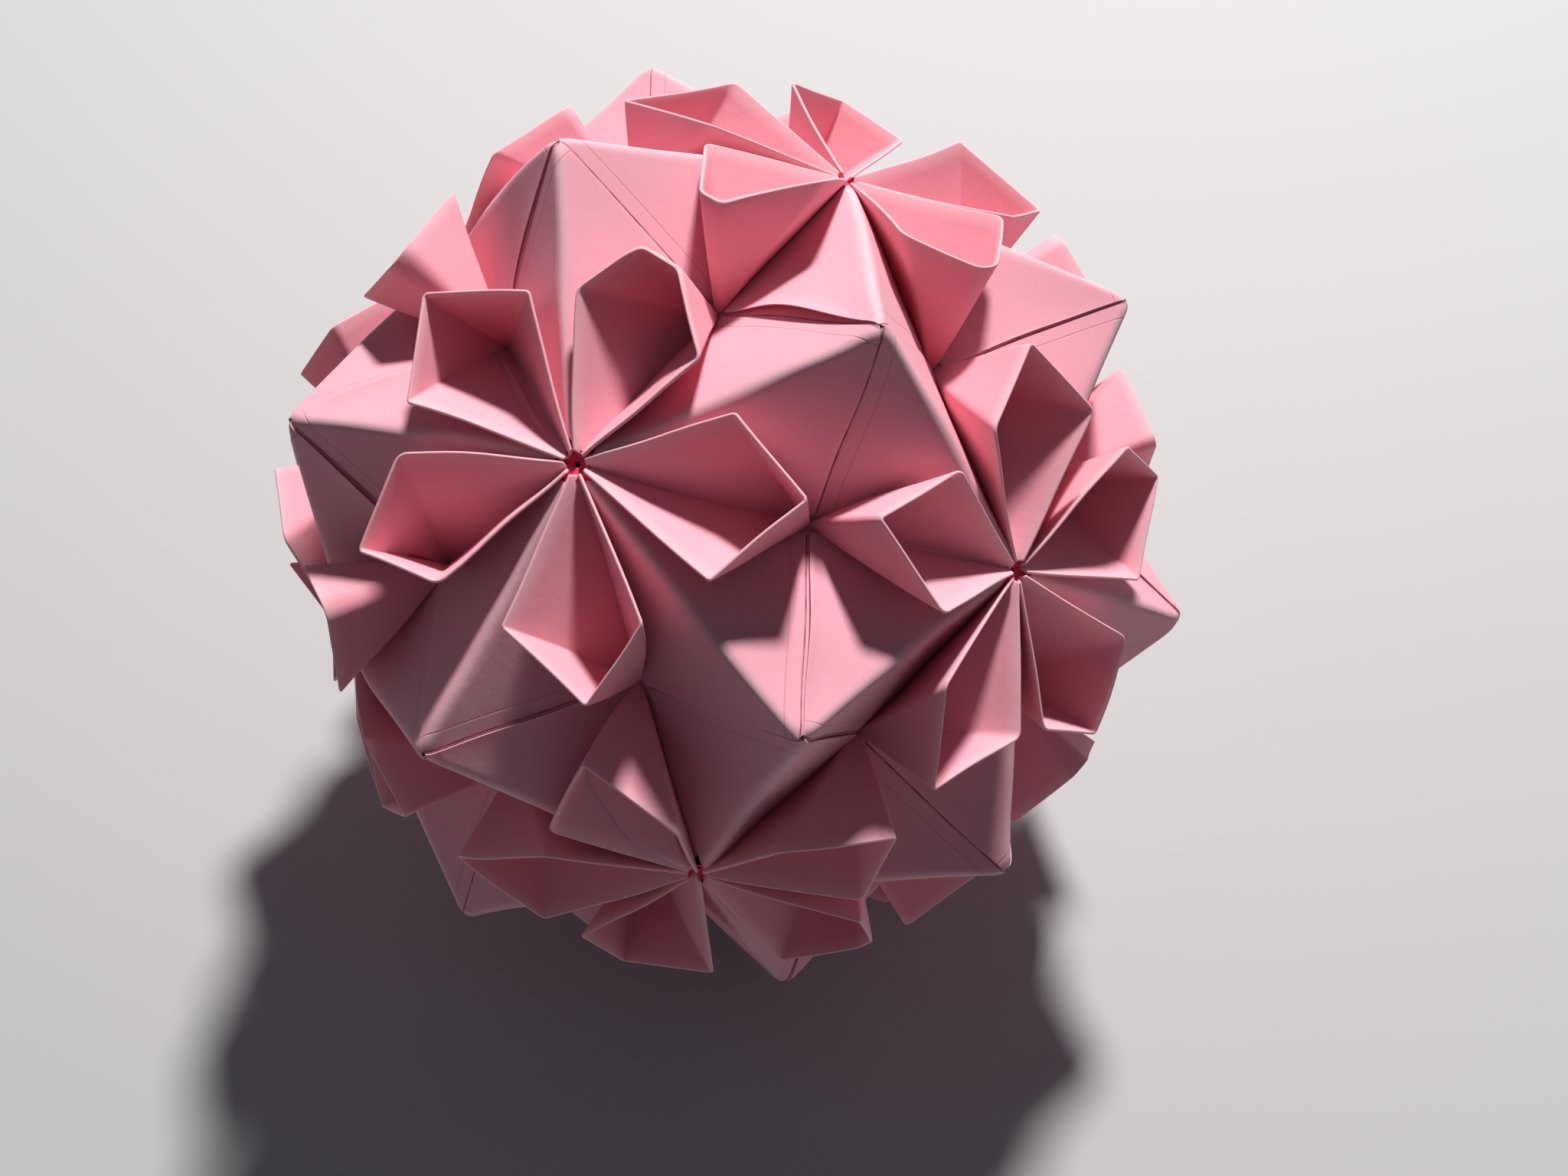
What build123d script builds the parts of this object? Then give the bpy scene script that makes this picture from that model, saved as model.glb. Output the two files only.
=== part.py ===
"""Kusudama paper ball: thirty folded paper units locked into each other, with no glue, thread or core.

The ball has the symmetry of an icosahedron. Its twelve corners are the flower centres, each unit lies along
one of its thirty edges, and a right-angled peak stands over each of its twenty faces.

One unit is one folded sheet:
- two flanks, folded up from a valley that runs from one flower centre to the next
- two petals, open four-sided cups that stand on the valley with their points meeting at its middle
- two wraps, each of which covers half a flank, bends over the ridge and goes on as a tab on the next unit's
  flank, with its end pushed into that unit's pocket

Axes: +Z up, with the ball standing on two peaks and the petals between them. Origin: middle of the ball.
"""
import os
from itertools import combinations
from math import atan2, cos, sqrt, tan

from build123d import *

# --- driving dimensions, mm ---------------------------------------------------------------------------------
flank_side = 33.4            # short side of a flank, from a flower centre to a peak
layer = 0.18                 # one flat layer of the folded sheet
slip = 0.05                  # clearance between sheets that slide into each other
ridge_fold = 0.8             # fold radius at a ridge, at the middle of the sheet
petal_wall = 0.3             # a petal's wall, two layers folded back on each other
crease_swell = 0.02          # how far a sharp fold stands proud of the walls it joins
shoulder_reach = 11.8        # petal's widest corners: distance along the valley from the flower centre
shoulder_spread = 7.6        # ... distance to either side of the valley
shoulder_rise = 10.6         # ... height above the valley
tip_reach = 18.9             # petal's tip: distance along the valley from the flower centre
tip_rise = 13.2              # ... height above the valley
flower_hole = 1.3            # radius of the hole left at a flower centre

# --- the icosahedron behind the ball ------------------------------------------------------------------------
golden = (1 + sqrt(5)) / 2
half_valley = flank_side / sqrt(2)                       # flower centre to the middle of the valley
valley_radius = golden * half_valley                     # ball centre to the middle of the valley
peak_radius = (golden**2 / sqrt(3) + 2 / sqrt(6)) * half_valley
peak_height = (peak_radius**2 + golden * half_valley**2) / (2 * valley_radius)
peak_side = sqrt(peak_radius**2 - peak_height**2)

# --- how the layers lie on each other -----------------------------------------------------------------------
tab_level = layer + slip                                 # a neighbour's tab lies on the flank
cover_level = 2 * (layer + slip)                         # the unit's own cover lies on that tab
edge_inset = ridge_fold + 2 * slip                       # hidden edges stop short of a ridge
flank_slope = atan2(peak_height - valley_radius, peak_side)
wedge = atan2(shoulder_rise, shoulder_spread) - flank_slope     # crevice between a petal's wall and a flank
cover_foot = cover_level / tan(wedge)                    # where a cover runs into its petal's wall
tab_foot = (tab_level + layer / 2 + slip + petal_wall / 2 / cos(wedge)) / tan(wedge)
crease = petal_wall / 2 + crease_swell
spine = (petal_wall + layer) / 2                         # the valley fold, where flanks and petals meet

# --- points of one unit: valley along X, +Z out of the ball, ball centre at the origin ----------------------
middle = Vector(0, 0, valley_radius)
flower = Vector(-half_valley, 0, valley_radius)
far_flower = Vector(half_valley, 0, valley_radius)
peak = Vector(0, peak_side, peak_height)
shoulder = flower + Vector(shoulder_reach, shoulder_spread, shoulder_rise)
far_shoulder = flower + Vector(shoulder_reach, -shoulder_spread, shoulder_rise)
tip = flower + Vector(tip_reach, 0, tip_rise)

# the peak is a cube's corner: these three run down its ridges, square to each other
ridge = (flower - peak).normalized()
own = (far_flower - peak).normalized()
onward = own.cross(ridge)


def facet(*corners, thickness):
    """Adds a flat facet of the sheet, with its middle layer on the polygon through the corners."""
    first, second, third = corners[:3]
    plane = Plane(origin=first, x_dir=second - first, z_dir=(second - first).cross(third - first))
    with BuildSketch(plane) as outline:
        with BuildLine():
            Polyline(*[plane.to_local_coords(corner) for corner in corners], close=True)
        make_face()
    extrude(outline.sketch, amount=thickness / 2, both=True)


def fold_line(start, end, radius):
    """Adds the rounded fold along which two facets meet."""
    with BuildSketch(Plane(origin=start, z_dir=end - start)) as section:
        Circle(radius)
    extrude(section.sketch, amount=(end - start).length)


def trim_beyond(plane, *edge):
    """Cuts the sheet that lies in a plane back to an edge, given in the plane as a line from seam to ridge."""
    reach = 2 * flank_side
    with BuildSketch(plane) as waste:
        with BuildLine():
            Polyline(*edge, (reach, 0), (reach, reach), (0, reach), close=True)
        make_face()
    extrude(waste.sketch, amount=2 * cover_level, both=True, mode=Mode.SUBTRACT)


# --- the wrap: an L section drawn along the ridge, its corner the soft fold over the ridge ------------------
cover_end = flank_side - cover_foot * sqrt(2)
tab_end = flank_side - tab_foot * sqrt(2)
with BuildPart() as wrap:
    with BuildSketch(Plane(origin=peak + ridge * edge_inset, x_dir=onward, z_dir=ridge)):
        with BuildLine():
            FilletPolyline((-cover_level, flank_side), (-cover_level, -tab_level), (flank_side, -tab_level),
                           radius=ridge_fold)
        trace(line_width=layer)
    extrude(amount=tab_end - edge_inset)
    # the cover ends at the seam, from the peak to the middle of the valley, and at the petal's wall
    trim_beyond(Plane(origin=peak, x_dir=ridge, z_dir=ridge.cross(own)),
                (0, 0), (cover_end / 2, cover_end / 2), (cover_end, 0))
    # the tab is a whole half square: one half shows, the other is hidden in the next unit's pocket
    trim_beyond(Plane(origin=peak, x_dir=ridge, z_dir=own), (0, tab_end), (tab_end, 0))

# --- half a unit: one flank with its wrap, and the petal from the flower that the wrap starts at ------------
with BuildPart() as half_unit:
    foot_inset = Vector(edge_inset * sqrt(2), 0, 0)
    flank_top = peak + (middle - peak).normalized() * foot_inset.length
    facet(flower + foot_inset, far_flower - foot_inset, flank_top, thickness=layer)
    petal_rim = [flower, shoulder, tip, far_shoulder]
    for here, there in zip(petal_rim, petal_rim[1:] + petal_rim[:1]):
        facet(here, there, middle, thickness=petal_wall)
    for corner in petal_rim[1:]:
        fold_line(middle, corner, crease)
    fold_line(flower, middle, spine)
    add(wrap.part)

# --- the whole unit: the same half twice, turned half round, with the flower centres left open --------------
with BuildPart() as folded_unit:
    add(half_unit.part)
    add(half_unit.part.rotate(Axis.Z, 180))
    for centre in (flower, far_flower):
        with BuildSketch(Plane(origin=(0, 0, 0), z_dir=centre)):
            Circle(flower_hole)
        extrude(amount=peak_radius, mode=Mode.SUBTRACT)

# --- the twelve flower centres, with the middle of one valley on top, and the thirty units between them -----
flower_centres = [
    turn(short, long)
    for turn in (
        lambda short, long: Vector(0, short, long),
        lambda short, long: Vector(long, 0, short),
        lambda short, long: Vector(short, long, 0),
    )
    for short in (-half_valley, half_valley)
    for long in (-valley_radius, valley_radius)
]
neighbours = [
    (start, end)
    for start, end in combinations(flower_centres, 2)
    if (end - start).length < 2.5 * half_valley
]

os.makedirs("parts", exist_ok=True)
for number, (start, end) in enumerate(neighbours, 1):
    with BuildPart(Plane(origin=(0, 0, 0), x_dir=end - start, z_dir=start + end)) as unit:
        add(folded_unit.part)
    unit.part.label = f"unit_{number:02d}"
    export_step(unit.part, f"parts/{unit.part.label}.step")
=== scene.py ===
"""A pink kusudama ball, thirty folded units of paper, standing on a pale table under one soft lamp.

Every unit is worked out in its own frame, in millimetres: the valley lies along X between two flower centres,
Z points out of the ball and the ball's centre is the origin. The unit is then turned to its place.
"""
from itertools import combinations

import bpy
import numpy as np
from mathutils import Matrix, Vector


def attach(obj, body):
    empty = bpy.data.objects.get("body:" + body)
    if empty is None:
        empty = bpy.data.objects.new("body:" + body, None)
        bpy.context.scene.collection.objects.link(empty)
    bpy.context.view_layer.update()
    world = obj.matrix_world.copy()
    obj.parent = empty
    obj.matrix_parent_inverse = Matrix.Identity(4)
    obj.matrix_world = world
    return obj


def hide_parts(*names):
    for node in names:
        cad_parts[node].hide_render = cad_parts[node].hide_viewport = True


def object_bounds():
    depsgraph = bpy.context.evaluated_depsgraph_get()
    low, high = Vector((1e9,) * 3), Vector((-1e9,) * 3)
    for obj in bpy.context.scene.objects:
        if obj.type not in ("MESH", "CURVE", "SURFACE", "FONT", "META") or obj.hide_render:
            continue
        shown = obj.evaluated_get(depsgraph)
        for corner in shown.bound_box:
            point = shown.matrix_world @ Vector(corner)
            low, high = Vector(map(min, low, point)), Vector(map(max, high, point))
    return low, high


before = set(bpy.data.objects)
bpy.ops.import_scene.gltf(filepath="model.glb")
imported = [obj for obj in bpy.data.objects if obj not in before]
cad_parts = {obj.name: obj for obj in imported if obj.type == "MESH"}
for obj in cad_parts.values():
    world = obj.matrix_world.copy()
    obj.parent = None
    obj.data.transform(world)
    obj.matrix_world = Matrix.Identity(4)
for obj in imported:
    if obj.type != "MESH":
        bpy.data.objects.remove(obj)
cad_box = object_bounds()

MM = 0.001
GOLDEN = (1 + 5**0.5) / 2
EVENNESS_SEED = 5823                    # picks the ball's slight unevenness
FOLDING_SEED = 12                       # picks how each petal and seam was folded

# --- the folded unit, mm ------------------------------------------------------------------------------------
FLANK_SIDE = 33.4                       # flower centre to peak
HALF_VALLEY = FLANK_SIDE / 2**0.5
VALLEY_RADIUS = GOLDEN * HALF_VALLEY
PEAK_RADIUS = (GOLDEN**2 / 3**0.5 + 2 / 6**0.5) * HALF_VALLEY
PEAK_HEIGHT = (PEAK_RADIUS**2 + GOLDEN * HALF_VALLEY**2) / (2 * VALLEY_RADIUS)
PEAK_SIDE = (PEAK_RADIUS**2 - PEAK_HEIGHT**2)**0.5
SHEET = 0.13                            # thickness of the paper as it shows at a cut edge
FLANK_INSET = 1.8                       # the flank's corners stop short of the flowers and the peak
TAB_LEVEL = 0.22                        # a tab lies this far above the flank
COVER_LEVEL = 0.44                      # a cover lies this far above the flank
RIDGE_FOLD = 0.9                        # fold radius at a ridge
COVER_FOOT = 1.2                        # where a cover runs in under its petal
TAB_FOOT = 1.45                         # where a tab stops short of the valley
TUCK = 3.0                              # how much of a tab's hidden end is made
WRAP_START = 0.1                        # where a wrap starts, from the peak
SEAM_GAPE = 0.3                         # the most that an ordinary seam stands open
PEAK_BLUNT = 1.6                        # how far from a peak the paper is worn blunt
PEAK_WEAR = 0.42                        # how much lower the worn peak is
FLOWER_HOLE = 1.35                      # where the petals start, from the flower centre
THROAT_RADIUS = 2.3                     # the cup below a flower centre: its radius
THROAT_HOLE = 0.3                       # ... radius of the hole in its middle
THROAT_TOP = 0.3                        # ... depth of its rim below the flower centre
THROAT_DEPTH = 0.8                      # ... depth of its middle
THROAT_WAIST = 0.62                     # ... its radius at the valley, as a share of that between two valleys
PETAL_WALL = 0.36
PETAL_START = 0.02                      # where a petal's rays start, as a share of the way to the rim
SHOULDER = np.array([11.8, 7.6, 10.6])  # petal's widest corner, from the flower centre
TIP = np.array([18.9, 0.0, 13.2])       # petal's tip, from the flower centre
SHOULDER_UNEVEN = 0.4                   # how far a shoulder strays
TIP_UNEVEN = 0.3                        # how far a tip strays
CORNER_SOFTNESS = (0.35, 1.1)           # how round the rim's corners are
WALL_BELLY = (-0.1, 0.35)               # how far a petal's wall swells
BOX_KNEE = 0.8                          # outermost stretch of the box in which the paper is drawn in
BOX_MARGIN = 0.02                       # what the paper stays short of the box

FLOWER = np.array([-HALF_VALLEY, 0.0, VALLEY_RADIUS])
FLOWER_FAR = FLOWER * [-1, 1, 1]
MIDDLE = np.array([0.0, 0.0, VALLEY_RADIUS])
PEAK = np.array([0.0, PEAK_SIDE, PEAK_HEIGHT])
HALF_TURN = np.diag([-1.0, -1.0, 1.0])

# where each part of a sheet lies in the flat coordinates; a wrap starts at zero
PETAL_FLAT = 100
FLANK_FLAT = 200
THROAT_FLAT = 300


def unit_vector(vector):
    """The vector, or each row of an array of vectors, brought to length one."""
    return vector / np.linalg.norm(vector, axis=-1, keepdims=True)


# the peak is a cube's corner: these three run down its ridges, square to each other
RIDGE = unit_vector(FLOWER - PEAK)
OWN = unit_vector(FLOWER_FAR - PEAK)
ONWARD = np.cross(OWN, RIDGE)


def grid_faces(rows, columns, closed=False, offset=0):
    """Quads between the points of a rows by columns grid, with the last column joined to the first if closed."""
    row, column = np.meshgrid(np.arange(rows - 1), np.arange(columns if closed else columns - 1), indexing="ij")
    following = (column + 1) % columns
    corners = [row * columns + column, row * columns + following,
               (row + 1) * columns + following, (row + 1) * columns + column]
    return np.stack(corners, axis=-1).reshape(-1, 4) + offset


class Sheet:
    """Collects the surfaces of one unit: points, quads, flat paper coordinates and how near a fold they are."""

    def __init__(self):
        self.points, self.faces, self.flat, self.fold = [], [], [], []
        self.count = 0

    def add(self, points, flat, fold, closed=False, flip=False):
        """Adds one grid of points, given as rows by columns by three."""
        rows, columns = points.shape[:2]
        faces = grid_faces(rows, columns, closed, self.count)
        self.faces.append(faces[:, ::-1] if flip else faces)
        self.points.append(points.reshape(-1, 3))
        self.flat.append(flat.reshape(-1, 2))
        self.fold.append(fold.reshape(-1))
        self.count += rows * columns


def both_sides(middle, normal, thickness):
    """A sheet's two faces and its rim: the middle surface moved half a thickness to each side.

    The rows run across one face, round the last row's edge and back across the other face.
    """
    return np.concatenate([middle + normal * thickness / 2, (middle - normal * thickness / 2)[::-1]])


def rounded_loop(corners, cuts, steps):
    """A closed line round the corners: each corner is a quadratic curve that starts and ends a cut's length away.

    On a curve from p to r with the corner at q, the point at t is (1-t)^2 p + 2t(1-t) q + t^2 r.
    """
    before = np.roll(corners, 1, axis=0)
    after = np.roll(corners, -1, axis=0)
    cuts = np.asarray(cuts)[:, None]
    start = corners + unit_vector(before - corners) * cuts
    end = corners + unit_vector(after - corners) * cuts
    t = np.linspace(0, 1, steps)[None, :, None]
    curve = (1 - t)**2 * start[:, None] + 2 * t * (1 - t) * corners[:, None] + t**2 * end[:, None]
    straight = np.linspace(0, 1, steps + 2)[None, 1:-1, None]
    side = end[:, None] + straight * (np.roll(start, -1, axis=0) - end)[:, None]
    return np.concatenate([curve, side], axis=1).reshape(-1, 3)


def petal(sheet, turn, shape):
    """A petal: straight rays from the middle of the valley to a rounded rim, so each wall is part of a cone.

    A point is middle + v (rim - middle) + 4 belly v (1 - v) normal. Both faces are half a wall from there, and
    the rim between them is half a circle.
    """
    mouth = FLOWER_HOLE / np.linalg.norm(SHOULDER)
    left, right, tip_left, tip_right = shape["left"], shape["right"], shape["tip_left"], shape["tip_right"]
    corners = FLOWER + np.array([
        [FLOWER_HOLE, 0, 0], mouth * left, left, tip_left, tip_right, right, mouth * right])
    soft = shape["soft"]
    crisp = min(soft, 0.45 * np.linalg.norm(tip_left - tip_right))
    rim = rounded_loop(corners, [0.2, 0.1, soft, crisp, crisp, soft, 0.1], 7)
    ray = rim - MIDDLE
    along = np.roll(rim, -1, axis=0) - np.roll(rim, 1, axis=0)
    normal = unit_vector(np.cross(ray, along))
    outward = np.sign(np.sum(normal * (rim - rim.mean(axis=0)), axis=1).mean())
    normal = normal * outward
    v = np.linspace(PETAL_START, 1, 12)[:, None, None]
    middle = MIDDLE + v * ray[None] + shape["belly"] * v * (1 - v) * 4 * normal[None]
    half = PETAL_WALL / 2
    angle = np.radians([30, 60, 90, 120, 150])[:, None, None]
    lip = rim + half * (np.cos(angle) * normal + np.sin(angle) * unit_vector(ray))
    points = np.concatenate([middle + half * normal, lip, (middle - half * normal)[::-1]])
    reach = np.concatenate([v.ravel(), np.ones(len(lip)), v.ravel()[::-1]])
    girth = np.linspace(0, 1, len(rim))
    flat = np.stack(np.broadcast_arrays(PETAL_FLAT + 40 * girth[None], 30 * reach[:, None]), axis=-1)
    on_lip = (reach > 0.985).astype(float)
    fold = np.repeat(on_lip[:, None], len(rim), axis=1)
    sheet.add(points @ turn.T, flat, fold, closed=True, flip=outward > 0)


def wrap(sheet, turn, gape):
    """The cover, the ridge and the tab: an L section with a round corner, drawn along the ridge.

    q is the length along the section from the ridge's middle line, minus down the cover, plus down the tab. The
    sheet is as wide as the seam and the valley let it be: |q| grows with the distance a from the peak, and
    shrinks again towards the flower. The seam's edge lifts by gape sin(pi s)^2 where it stands open, with s
    from 0 at the peak to 1 at half the ridge. Near the peak all points are moved in, as a worn corner is.
    """
    length = FLANK_SIDE - TAB_FOOT * 2**0.5 - WRAP_START
    a = (WRAP_START + length * np.linspace(0, 1, 50)**1.1)[:, None]
    bend = RIDGE_FOLD * np.pi / 4
    seam = np.minimum(a, FLANK_SIDE - a - COVER_FOOT * 2**0.5)
    tab = np.minimum(a + TUCK, FLANK_SIDE - a - TAB_FOOT * 2**0.5)
    spread = np.concatenate([np.linspace(-1, 0, 19)[:-1], np.linspace(0, 1, 23)])[None]
    shift = TAB_LEVEL - RIDGE_FOLD + bend
    q = np.where(spread < 0, spread * (seam + shift), spread * (tab + shift))
    turned = np.clip(q / RIDGE_FOLD + np.pi / 4, 0, np.pi / 2)
    onward = RIDGE_FOLD - COVER_LEVEL - RIDGE_FOLD * np.cos(turned) + np.maximum(q - bend, 0)
    own = RIDGE_FOLD - TAB_LEVEL - RIDGE_FOLD * np.sin(turned) + np.maximum(-q - bend, 0)
    place = PEAK + a[..., None] * RIDGE + onward[..., None] * ONWARD + own[..., None] * OWN
    normal = -np.cos(turned)[..., None] * ONWARD - np.sin(turned)[..., None] * OWN
    open_along = np.sin(np.pi * np.clip(a / (FLANK_SIDE / 2), 0, 1))**2
    lift = gape * open_along * np.clip(-spread, 0, 1)**4
    place = place + lift[..., None] * normal
    near_peak = np.clip(1 - np.linalg.norm(place - PEAK, axis=-1, keepdims=True) / PEAK_BLUNT, 0, 1)
    place = place - PEAK_WEAR * near_peak**1.5 * unit_vector(PEAK)
    flat = np.stack(np.broadcast_arrays(a, q), axis=-1)
    flat = np.concatenate([flat, flat[::-1]])
    fold = np.exp(-(q / 0.5)**2) + (spread < -0.985)
    fold = np.concatenate([fold, fold[::-1]])
    sheet.add(both_sides(place, normal, SHEET) @ turn.T, flat, np.clip(fold, 0, 1))
    # the sides of the sheet, along the seam and along the tab's end
    for column in (0, -1):
        half = normal[:, column] * SHEET / 2
        edge = np.stack([place[:, column] + half, place[:, column] - half])
        flat_edge = np.stack(np.broadcast_arrays(a.T, q[:, column][None]), axis=-1).repeat(2, axis=0)
        sheet.add(edge @ turn.T, flat_edge, np.ones(edge.shape[:2]), flip=column == 0)


def flank(sheet, turn):
    """The flank itself, under the cover and the tab: a flat triangle, in rows from the valley to the peak.

    A point is (1 - up) (start + across (end - start)) + up top.
    """
    start = FLOWER + [FLANK_INSET, 0, 0]
    end = FLOWER_FAR - [FLANK_INSET, 0, 0]
    top = PEAK + unit_vector(MIDDLE - PEAK) * FLANK_INSET
    up = np.linspace(0, 0.999, 14)[:, None, None]
    across = np.linspace(0, 1, 28)[None, :, None]
    base = (1 - up) * (start + across * (end - start)) + up * top
    normal = np.broadcast_to(unit_vector(np.cross(end - start, top - start)), base.shape)
    points = both_sides(base, normal, SHEET)
    flat = np.stack([FLANK_FLAT + points[..., 0], points[..., 1]], axis=-1)
    sheet.add(points @ turn.T, flat, np.zeros(points.shape[:2]))


def throat(sheet, turn):
    """The folded corner that a unit tucks in below its flower: one fifth of a shallow five-pointed cup.

    The angle g runs over a fifth of a turn about the flower's axis, with the valley in its middle. The cup's
    point at t is flower + r(t) (cos g, sin g) - d(t) axis, where the radius r shrinks and the depth d grows.
    """
    axis = unit_vector(FLOWER)
    valley = unit_vector(MIDDLE - FLOWER - ((MIDDLE - FLOWER) @ axis) * axis)
    aside = np.cross(axis, valley)
    g = np.linspace(-np.pi / 5, np.pi / 5, 13)[None, :, None]
    t = np.linspace(0, 1, 8)[:, None, None]
    fullness = THROAT_WAIST + (1 - THROAT_WAIST) * np.abs(g / (np.pi / 5))**1.5
    r = THROAT_RADIUS * (1 - t) * fullness + THROAT_HOLE * t
    d = THROAT_TOP + (THROAT_DEPTH - THROAT_TOP) * t**0.8
    place = FLOWER + r * (np.cos(g) * valley + np.sin(g) * aside) - d * axis
    points = both_sides(place, np.broadcast_to(axis, place.shape), SHEET)
    flat = np.stack(np.broadcast_arrays(THROAT_FLAT + 10 * t[..., 0], 10 * g[..., 0]), axis=-1)
    flat = np.concatenate([flat, flat[::-1]])
    sheet.add(points @ turn.T, flat, np.zeros(points.shape[:2]))


# --- what makes it hand-made ----------------------------------------------------------------------------------
def soft_warp(points):
    """Hand-made unevenness that all sheets share, so that layers stay in order: a sum of sine waves in space.

    Each wave moves the points by strength * direction * sin(wave . point + phase).
    """
    dice = np.random.default_rng(EVENNESS_SEED)
    moved = points.copy()
    for length, strength, count in ((70.0, 0.45, 5), (30.0, 0.16, 7), (11.0, 0.035, 8)):
        for _ in range(count):
            wave = unit_vector(dice.normal(size=3)) * 2 * np.pi / length
            direction = unit_vector(dice.normal(size=3))
            moved += strength * direction * np.sin(points @ wave + dice.uniform(0, 2 * np.pi))[:, None]
    return moved


def within_box(points):
    """Draws in what would pass the box of the CAD, which is a cube about the origin.

    On each axis, a distance x beyond the knee k becomes k + (m - k) (1 - exp(-(x - k) / (m - k))), which never
    reaches the limit m.
    """
    limit = cad_box[1][2] / MM - BOX_MARGIN
    knee = limit - BOX_KNEE
    far = np.maximum(np.abs(points) - knee, 0)
    return np.clip(points, -knee, knee) + np.sign(points) * (limit - knee) * (1 - np.exp(-far / (limit - knee)))


def habit(swing=0.0, ahead=0.0, aside=0.0, flat=0.2):
    """How one petal was folded: swung about its valley in degrees, and its tip moved or folded flat, mm."""
    return swing, ahead, aside, flat


FLOWER_NAMES = {
    "front": (0, -1, GOLDEN), "back": (0, 1, GOLDEN), "right": (GOLDEN, 0, 1), "left": (-GOLDEN, 0, 1),
    "low_right": (1, -GOLDEN, 0), "low_left": (-1, -GOLDEN, 0), "side": (1, GOLDEN, 0),
    "far_left": (-1, GOLDEN, 0), "under_right": (GOLDEN, 0, -1), "under_front": (0, -1, -GOLDEN)}

# petals that stand in their own way, by their own flower and the next one
PETAL_HABITS = {
    ("front", "back"): habit(ahead=-1.5, aside=1.8, flat=2.3),
    ("front", "left"): habit(aside=0.5),
    ("front", "right"): habit(swing=-4, aside=0.7),
    ("front", "low_left"): habit(swing=6),
    ("front", "low_right"): habit(swing=6),
    ("back", "front"): habit(swing=12, ahead=2, flat=1.4),
    ("back", "left"): habit(swing=-5, ahead=2.5),
    ("back", "right"): habit(swing=4, flat=1.2),
    ("back", "far_left"): habit(swing=8),
    ("back", "side"): habit(swing=5, ahead=1),
    ("right", "front"): habit(swing=7, ahead=2),
    ("right", "back"): habit(aside=0.3),
    ("right", "side"): habit(swing=3),
    ("right", "under_right"): habit(swing=7, ahead=1.5),
    ("right", "low_right"): habit(ahead=1.5),
    ("low_right", "front"): habit(swing=-15, ahead=2.5),
    ("low_right", "low_left"): habit(swing=2, ahead=1.5),
    ("low_right", "right"): habit(swing=4, ahead=1.5),
    ("low_right", "under_front"): habit(swing=3)}

# seams that stand open, by the flower whose half the cover is on and the unit's other flower, mm
WIDE_SEAMS = {("back", "front"): 1.1, ("right", "front"): 0.45, ("front", "left"): 0.3}


def petal_shape(dice, own_habit):
    """One petal's rim: swung about the valley by its own or a usual habit, and each corner a little off."""
    usual = dice.normal(0, 4), dice.normal(0, 1), dice.normal(0, 0.5), dice.uniform(0.15, 1.3)
    swing, ahead, aside, flat = own_habit or usual
    cos, sin = np.cos(np.radians(swing)), np.sin(np.radians(swing))
    corners = np.array([SHOULDER, TIP + [ahead, aside + flat, 0], TIP + [ahead, aside - flat, 0],
                        SHOULDER * [1, -1, 1]])
    corners = corners @ np.array([[1, 0, 0], [0, cos, sin], [0, -sin, cos]])
    corners[[0, 3]] += dice.normal(0, SHOULDER_UNEVEN, (2, 3))
    corners[[1, 2]] += dice.normal(0, TIP_UNEVEN, 3)
    left, tip_left, tip_right, right = corners
    return {"left": left, "right": right, "tip_left": tip_left, "tip_right": tip_right,
            "soft": dice.uniform(*CORNER_SOFTNESS), "belly": dice.uniform(*WALL_BELLY)}


# --- where the units stand ------------------------------------------------------------------------------------
def flower_centres():
    """The icosahedron's twelve corners, in the order in which the units are numbered."""
    turns = (lambda short, long: (0, short, long),
             lambda short, long: (long, 0, short),
             lambda short, long: (short, long, 0))
    return [np.array(turn(short, long)) for turn in turns
            for short in (-HALF_VALLEY, HALF_VALLEY) for long in (-VALLEY_RADIUS, VALLEY_RADIUS)]


def unit_places():
    """For each unit, the three axes of its own frame as columns: along the valley, across it, out of the ball."""
    for start, end in combinations(flower_centres(), 2):
        if np.linalg.norm(end - start) < 2.5 * HALF_VALLEY:
            along, out = unit_vector(end - start), unit_vector(end + start)
            yield np.stack([along, np.cross(out, along), out], axis=1)


def flower_name(point):
    """The name of the flower centre nearest to a point, or None if it is none of the named ones."""
    for name, corner in FLOWER_NAMES.items():
        if np.linalg.norm(np.array(corner) * HALF_VALLEY - point) < 1:
            return name
    return None


def folded_unit(place, dice):
    """The surfaces of one unit, turned to its place: the same half twice, with half a turn between them."""
    sheet = Sheet()
    for turn in (place, place @ HALF_TURN):
        flank(sheet, turn)
        throat(sheet, turn)
        ends = flower_name(turn @ FLOWER), flower_name(turn @ FLOWER_FAR)
        wrap(sheet, turn, gape=dice.uniform(0, SEAM_GAPE) + WIDE_SEAMS.get(ends, 0))
        petal(sheet, turn, petal_shape(dice, PETAL_HABITS.get(ends)))
    return sheet


# --- paper ----------------------------------------------------------------------------------------------------
PINK = (0.84, 0.345, 0.415, 1)
PALER_PINK = (0.88, 0.395, 0.465, 1)
FIBRE_TONE = (0.92, 0.50, 0.56, 1)
# painted highlight: the paler tone of folds and rims
FOLD_HIGHLIGHT_TONE = (0.92, 0.62, 0.64, 1)
# painted shade: the dark tone of the crease beside each seam
CREASE_SHADE_TONE = (0.50, 0.16, 0.20, 1)
# painted shadow: the dark tone of the slit at a seam's edge
SLIT_SHADOW_TONE = (0.16, 0.012, 0.035, 1)
# painted light: the red glow of light coming through the paper into the cup below a flower
THROAT_GLOW_TONE = (0.95, 0.06, 0.15, 1)
CREASE_PLACE = 2.4                      # from the seam, in the flat coordinates
SLIT_SHADOW_PLACE = 0.1


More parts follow.
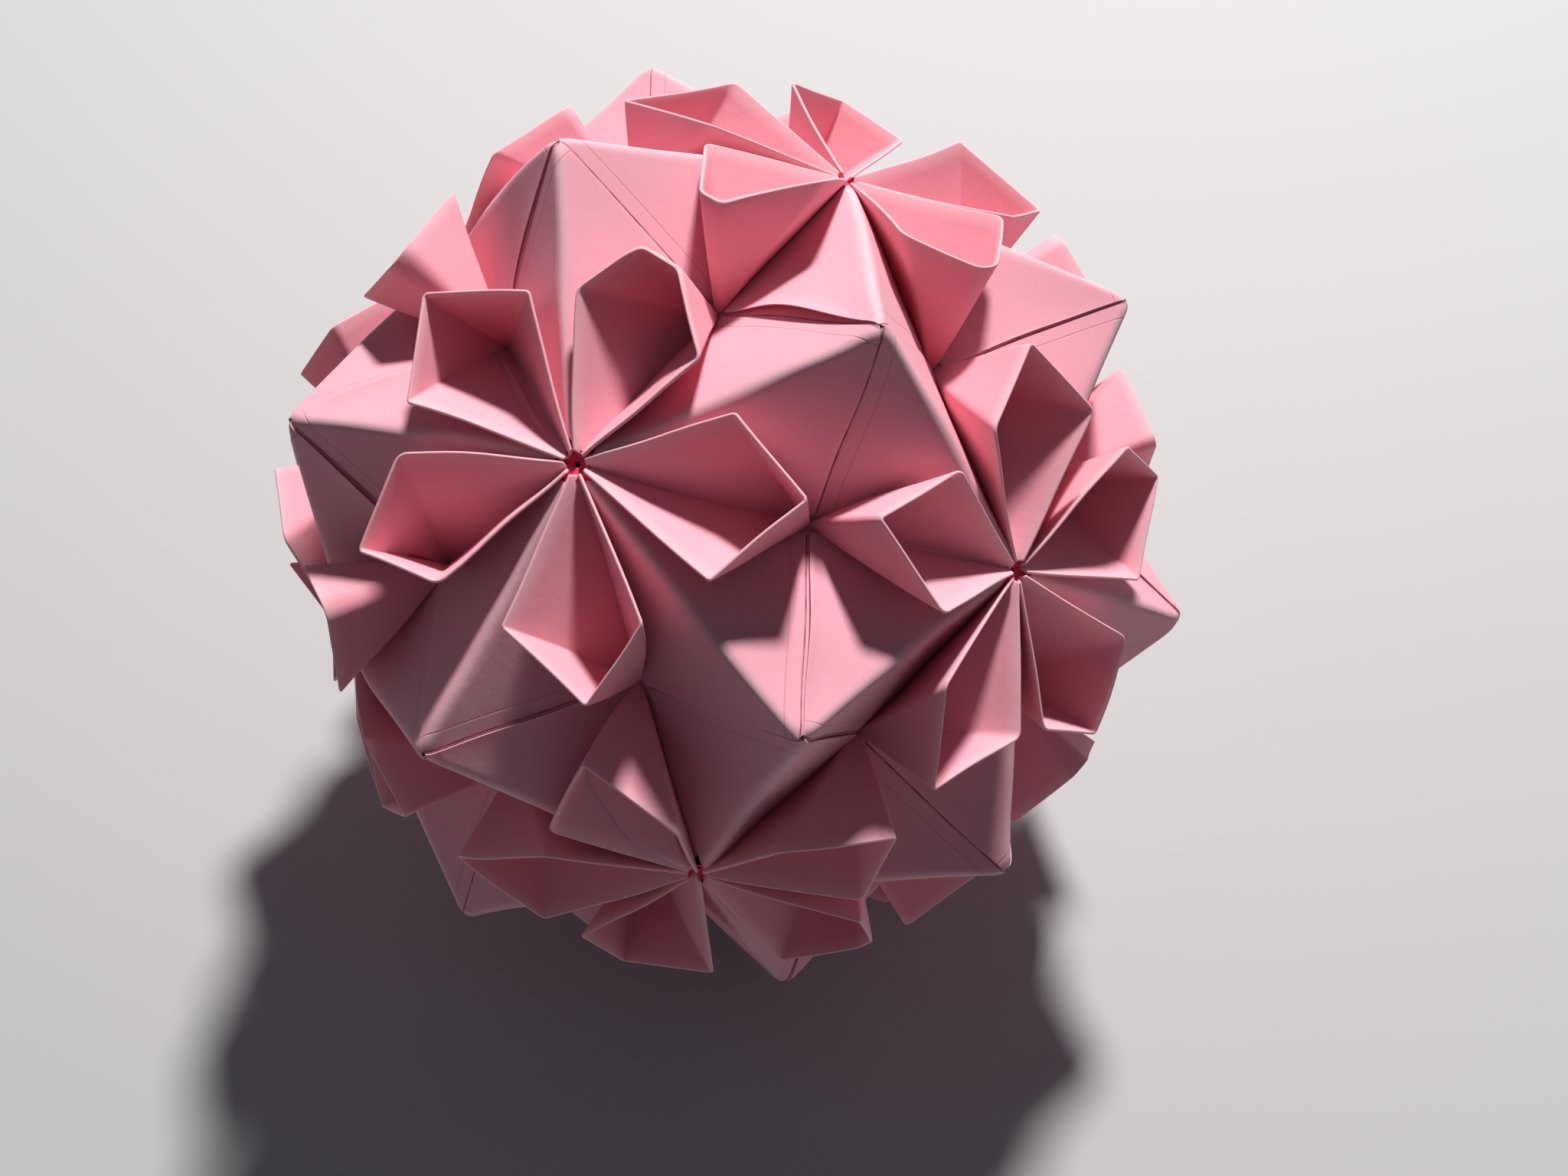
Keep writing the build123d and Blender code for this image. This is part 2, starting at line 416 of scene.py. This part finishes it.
def paper(name="pink_paper"):
    """Matt pink paper: a faint cloudiness and fine fibres, with light painted in: folds painted paler as a
    painted highlight, painted shade in one thin crease beside each seam, a painted shadow in the slit at each
    seam's edge and a painted red glow in the cup below each flower.
    """
    material = bpy.data.materials.new(name)
    material.use_nodes = True
    nodes, links = material.node_tree.nodes, material.node_tree.links
    shader = nodes["Principled BSDF"]
    shader.inputs["Roughness"].default_value = 0.82
    shader.inputs["Specular IOR Level"].default_value = 0.22
    shader.inputs["Subsurface Weight"].default_value = 0.3
    shader.inputs["Subsurface Radius"].default_value = (1.0, 0.25, 0.2)
    shader.inputs["Subsurface Scale"].default_value = 0.0006
    where = nodes.new("ShaderNodeTexCoord")

    def noise(scale, detail, roughness=0.6):
        node = nodes.new("ShaderNodeTexNoise")
        node.inputs["Scale"].default_value = scale
        node.inputs["Detail"].default_value = detail
        node.inputs["Roughness"].default_value = roughness
        links.new(where.outputs["Object"], node.inputs["Vector"])
        return node.outputs[0]

    def math(operation, first, second=None):
        node = nodes.new("ShaderNodeMath")
        node.operation = operation
        for socket, value in zip(node.inputs, (first, second)):
            if isinstance(value, (int, float)):
                socket.default_value = value
            elif value is not None:
                links.new(value, socket)
        return node.outputs[0]

    def mix(factor, first, second):
        node = nodes.new("ShaderNodeMix")
        node.data_type = "RGBA"
        for socket, value in zip((node.inputs[0], node.inputs[6], node.inputs[7]), (factor, first, second)):
            if isinstance(value, tuple):
                socket.default_value = value
            else:
                links.new(value, socket)
        return node.outputs[2]

    def line_at(place, sharpness):
        """One on the line that lies so far from the seam, falling evenly to zero on both sides of it."""
        off = math("ABSOLUTE", math("SUBTRACT", from_seam, place))
        return math("MAXIMUM", math("SUBTRACT", 1.0, math("MULTIPLY", off, sharpness)), 0.0)

    clouds = noise(55.0, 3.0)
    fibres = noise(2600.0, 6.0, 0.75)
    grain = noise(900.0, 3.0)
    patches = noise(420.0, 2.0)
    tone = mix(clouds, PINK, PALER_PINK)
    tone = mix(math("MULTIPLY", fibres, 0.22), tone, FIBRE_TONE)
    # painted highlight: folds and rims are painted paler, where the light catches them
    edge = nodes.new("ShaderNodeAttribute")
    edge.attribute_name = "fold"
    tone = mix(math("MULTIPLY", edge.outputs["Fac"], 0.40), tone, FOLD_HIGHLIGHT_TONE)

    # lines beside the seam: there, distance from the peak less distance from the ridge is constant
    flat = nodes.new("ShaderNodeUVMap")
    flat.uv_map = "paper"
    parts = nodes.new("ShaderNodeSeparateXYZ")
    links.new(flat.outputs[0], parts.inputs[0])
    from_seam = math("SUBTRACT", parts.outputs[0], parts.outputs[1])
    crease = line_at(CREASE_PLACE, 6.0)
    # painted shade: the crease is painted darker, besides being pressed in by the bump below
    tone = mix(math("MULTIPLY", crease, 0.35), tone, CREASE_SHADE_TONE)
    # painted shadow: the slit just beside the cover's edge is painted dark, and this painted shadow is fainter in
    # places
    slit_shadow = math("MULTIPLY", line_at(SLIT_SHADOW_PLACE, 5.0), math("MULTIPLY", patches, 1.7))
    tone = mix(math("MINIMUM", slit_shadow, 1.0), tone, SLIT_SHADOW_TONE)
    # painted light: the cup below a flower is painted a deeper, brighter red, for the light that comes through
    # the sheets into it
    tone = mix(math("GREATER_THAN", parts.outputs[0], THROAT_FLAT - 10.0), tone, THROAT_GLOW_TONE)
    links.new(tone, shader.inputs["Base Color"])

    height = math("ADD", math("MULTIPLY", fibres, 0.35), math("MULTIPLY", grain, 0.65))
    height = math("SUBTRACT", height, math("MULTIPLY", crease, 1.2))
    bump = nodes.new("ShaderNodeBump")
    bump.inputs["Strength"].default_value = 0.35
    bump.inputs["Distance"].default_value = 0.00012
    links.new(height, bump.inputs["Height"])
    links.new(bump.outputs[0], shader.inputs["Normal"])
    return material


def make_object(name, points, sheet, material):
    """One mesh object at the origin, its points in metres, with its flat coordinates and its fold strength."""
    faces, flat = np.concatenate(sheet.faces), np.concatenate(sheet.flat)
    mesh = bpy.data.meshes.new(name)
    mesh.from_pydata((points * MM).tolist(), [], faces.tolist())
    layer = mesh.uv_layers.new(name="paper")
    layer.data.foreach_set("uv", flat[faces.ravel()].astype(np.float32).ravel())
    attribute = mesh.attributes.new("fold", "FLOAT", "POINT")
    attribute.data.foreach_set("value", np.concatenate(sheet.fold).astype(np.float32))
    mesh.materials.append(material)
    mesh.shade_smooth()
    thing = bpy.data.objects.new(name, mesh)
    bpy.context.scene.collection.objects.link(thing)
    return thing


# --- the thirty units -----------------------------------------------------------------------------------------
pink_paper = paper()
dice = np.random.default_rng(FOLDING_SEED)
for number, place in enumerate(unit_places(), 1):
    unit = folded_unit(place, dice)
    points = within_box(soft_warp(np.concatenate(unit.points)))
    paper_unit = make_object(f"paper_unit_{number:02d}", points, unit, pink_paper)
    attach(paper_unit, "root")
    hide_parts(f"unit_{number:02d}")

# --- table, lamp and camera, in metres ------------------------------------------------------------------------
TABLE_HALF = 1.6
TABLE_TONE = (0.565, 0.565, 0.565, 1)
CAMERA_PLACE = np.array([1.41485, -1.92946, 3.53563]) * PEAK_RADIUS * MM
CAMERA_FORWARD = unit_vector(np.array([-0.28983, 0.4487, -0.84538]))
CAMERA_RIGHT = unit_vector(np.array([0.82382, 0.56656, 0.01827]))
LAMP_DIRECTION = unit_vector(np.array([-0.198, 0.538, 0.820]))
LAMP_DISTANCE = 0.706
LAMP_SIZE = 0.085
LAMP_POWER = 7.3
LAMP_TONE = (1.0, 0.965, 0.955)
ROOM_TONE = (0.76, 0.82, 1.0, 1)
ROOM_STRENGTH = 0.095


def table():
    """A wide flat table top, at the ball's lowest point."""
    low = cad_box[0][2]
    corners = [(x * TABLE_HALF, y * TABLE_HALF, low) for x, y in ((-1, -1), (1, -1), (1, 1), (-1, 1))]
    mesh = bpy.data.meshes.new("table_top")
    mesh.from_pydata(corners, [], [(0, 1, 2, 3)])
    top = bpy.data.materials.new("table_white")
    top.use_nodes = True
    shader = top.node_tree.nodes["Principled BSDF"]
    shader.inputs["Base Color"].default_value = TABLE_TONE
    shader.inputs["Roughness"].default_value = 0.9
    shader.inputs["Specular IOR Level"].default_value = 0.1
    mesh.materials.append(top)
    thing = bpy.data.objects.new("table_top", mesh)
    bpy.context.scene.collection.objects.link(thing)


def aim(name, data, forward, right, at):
    """Adds a camera or lamp at a point, turned to look along forward with right to its right."""
    thing = bpy.data.objects.new(name, data)
    bpy.context.scene.collection.objects.link(thing)
    rows = np.stack([right, np.cross(right, forward), -forward], axis=1)
    thing.matrix_world = Matrix.Translation(at) @ Matrix(rows.tolist()).to_4x4()
    return thing


def camera():
    """The camera, high in front of the ball and a little to its right."""
    data = bpy.data.cameras.new("camera")
    data.lens = 45.2
    data.sensor_width = 36.0
    data.clip_start = 0.01
    bpy.context.scene.camera = aim("camera", data, CAMERA_FORWARD, CAMERA_RIGHT, CAMERA_PLACE)


def lamp():
    """One small round lamp, high behind the ball, which aims at its middle."""
    data = bpy.data.lights.new("lamp", "AREA")
    data.shape = "DISK"
    data.size = LAMP_SIZE
    data.energy = LAMP_POWER
    data.color = LAMP_TONE
    side = unit_vector(np.cross(-LAMP_DIRECTION, [0, 0, 1]))
    aim("lamp", data, -LAMP_DIRECTION, side, LAMP_DIRECTION * LAMP_DISTANCE)


def room():
    """The weak bluish light of the room, from all sides."""
    world = bpy.data.worlds.new("room")
    world.use_nodes = True
    background = world.node_tree.nodes["Background"]
    background.inputs[0].default_value = ROOM_TONE
    background.inputs[1].default_value = ROOM_STRENGTH
    bpy.context.scene.world = world


table()
camera()
lamp()
room()
bpy.context.scene.view_settings.view_transform = "Standard"
